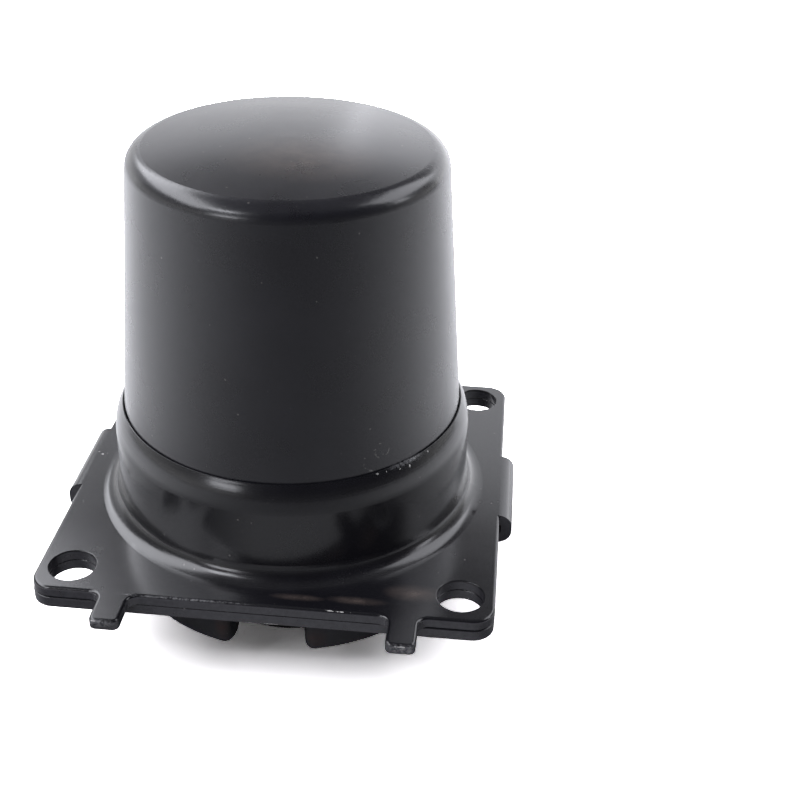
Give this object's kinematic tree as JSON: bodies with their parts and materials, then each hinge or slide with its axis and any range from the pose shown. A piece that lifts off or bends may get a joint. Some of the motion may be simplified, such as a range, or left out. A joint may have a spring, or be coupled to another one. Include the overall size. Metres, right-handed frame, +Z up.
{
  "type": "cab rubber buffer",
  "caption": "Fluid-damped rubber cab mount: black steel can in a collared flange, rubber bump pads and a threaded core below.",
  "frame": {"origin": "centre of the bolt pattern on the flange's top face, on the mount's axis", "axes": "+Z up along the axis from the core's seat towards the closed end of the can; +Y away from the flange edge with the two flat tabs; +X to the right when that edge is seen from the front"},
  "size_m": [0.1336, 0.134, 0.1447],
  "materials": {
    "black_paint": "satin",
    "rubber": "matte",
    "core_steel": "satin",
    "plain_steel": "satin"
  },
  "bodies": {
    "root": {"reservoir_can": "black_paint", "collar_plate": "black_paint", "base_plate": "black_paint", "rubber_spring": "rubber", "core_boss": "core_steel", "damper_disc": "plain_steel", "damper_washer": "plain_steel", "damper_screw": "plain_steel"}
  },
  "joints": []
}
